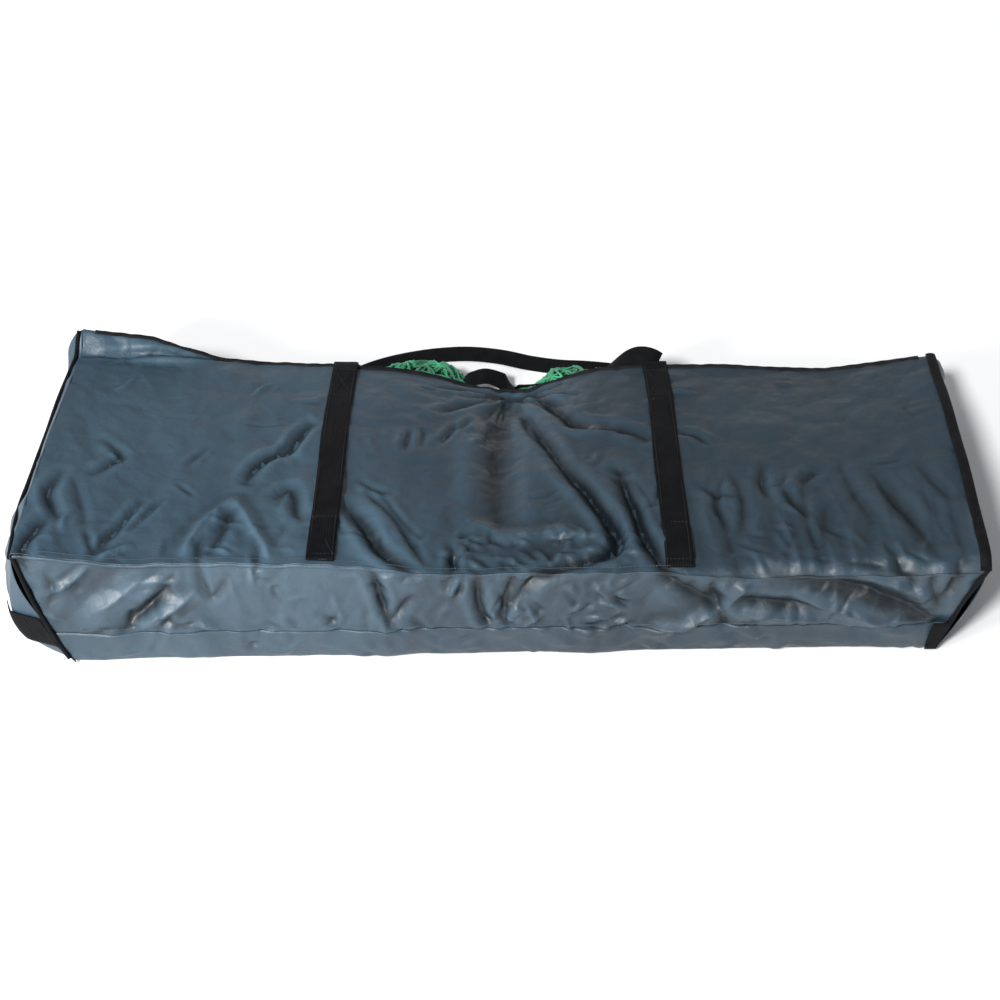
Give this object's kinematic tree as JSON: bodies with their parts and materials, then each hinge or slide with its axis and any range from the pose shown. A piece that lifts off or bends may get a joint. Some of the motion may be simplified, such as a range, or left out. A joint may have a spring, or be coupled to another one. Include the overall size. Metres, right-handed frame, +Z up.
{
  "type": "packed goal carry bag",
  "caption": "Long coated-cloth carry bag lying on its back with a folded-down goal inside, green netting spilling from the unzipped mouth, webbing straps and loop handles",
  "frame": {"origin": "on the floor under the middle of the whole object's box", "axes": "+X along the bag to the right when the base gusset faces the viewer, +Y from the base gusset to the mouth, +Z up"},
  "size_m": [1.3402, 0.712, 0.1857],
  "materials": {
    "bag_cloth": "coated nylon, slightly shiny, creased",
    "gusset_cloth": "coated nylon, slightly shiny, creased",
    "webbing": "matt woven nylon webbing",
    "binding": "matt woven tape over piping cord",
    "zip_tape": "matt woven tape",
    "zip_chain": "moulded nylon teeth",
    "zip_metal": "black enamelled die-cast metal",
    "net_cord": "knotted braided cord",
    "hook_strap": "brushed hook-and-loop tape",
    "goal_tube": "semi-gloss powder coat",
    "elbow_plastic": "moulded, fine grain",
    "spring_steel": "bright steel"
  },
  "bodies": {
    "bag": {"back_panel": "bag_cloth", "back_strap_left": "webbing", "back_strap_right": "webbing", "back_zip_chain": "zip_chain", "back_zip_tape": "zip_tape", "base_gusset": "gusset_cloth", "binding_back_left": "binding", "binding_back_right": "binding", "binding_base_left": "binding", "binding_base_right": "binding", "binding_front_left": "binding", "binding_front_right": "binding", "corner_elbow_lower_left": "elbow_plastic", "corner_elbow_lower_right": "elbow_plastic", "corner_elbow_upper_left": "elbow_plastic", "corner_elbow_upper_right": "elbow_plastic", "corner_patch_left": "webbing", "corner_patch_right": "webbing", "crossbar_half_left": "goal_tube", "crossbar_half_right": "goal_tube", "crossbar_spigot": "goal_tube", "end_panel_left": "bag_cloth", "end_panel_right": "bag_cloth", "front_panel": "bag_cloth", "front_strap_left": "webbing", "front_strap_right": "webbing", "front_zip_chain": "zip_chain", "front_zip_tape": "zip_tape", "goal_net": "net_cord", "net_tie": "hook_strap", "post_left": "goal_tube", "post_right": "goal_tube", "rear_base_half_left": "goal_tube", "rear_base_half_right": "goal_tube", "rear_base_spigot": "goal_tube", "rear_brace_left": "goal_tube", "rear_brace_right": "goal_tube", "side_base_left": "goal_tube", "side_base_right": "goal_tube", "zip_end_stop_left": "zip_metal", "zip_end_stop_right": "zip_metal"},
    "front_handle": {"front_handle": "webbing"},
    "back_handle": {"back_handle": "webbing"},
    "zip_slider_left": {"zip_slider_left": "zip_metal"},
    "zip_pull_left": {"zip_pull_left": "zip_metal"},
    "zip_slider_right": {"zip_slider_right": "zip_metal"},
    "zip_pull_right": {"zip_pull_right": "zip_metal"},
    "crossbar_button": {"crossbar_button": "spring_steel", "crossbar_button_spring": "spring_steel"},
    "rear_base_button": {"rear_base_button": "spring_steel", "rear_base_button_spring": "spring_steel"}
  },
  "joints": [
    {"name": "front_handle_swing", "type": "hinge", "parent": "bag", "child": "front_handle", "pos_m": [-0.0095, 0.218, 0.086], "axis": [1, 0, 0], "range_deg": [0, 185]},
    {"name": "back_handle_lift", "type": "hinge", "parent": "bag", "child": "back_handle", "pos_m": [-0.0095, 0.225, 0.0013], "axis": [1, 0, 0], "range_deg": [0, 32]},
    {"name": "zip_slide_left", "type": "slide", "parent": "bag", "child": "zip_slider_left", "axis": [0.9935, 0, -0.1142], "range_m": [-0.095, 0.02]},
    {"name": "zip_slide_right", "type": "slide", "parent": "bag", "child": "zip_slider_right", "axis": [-0.9859, 0, -0.1676], "range_m": [-0.08, 0.02]},
    {"name": "zip_pull_swing_left", "type": "hinge", "parent": "zip_slider_left", "child": "zip_pull_left", "pos_m": [-0.5095, 0.211, 0.0846], "axis": [0.1142, 0, 0.9935], "range_deg": [0, 170]},
    {"name": "zip_pull_swing_right", "type": "hinge", "parent": "zip_slider_right", "child": "zip_pull_right", "pos_m": [0.5305, 0.211, 0.0624], "axis": [0.1676, 0, -0.9859], "range_deg": [0, 170]},
    {"name": "crossbar_button_press", "type": "slide", "parent": "bag", "child": "crossbar_button", "axis": [0, 0, -1], "range_m": [0, 0.005], "stiffness_N_per_m": 900, "springref_m": -0.002},
    {"name": "rear_base_button_press", "type": "slide", "parent": "bag", "child": "rear_base_button", "axis": [0, 0, -1], "range_m": [0, 0.005], "stiffness_N_per_m": 900, "springref_m": -0.002}
  ]
}
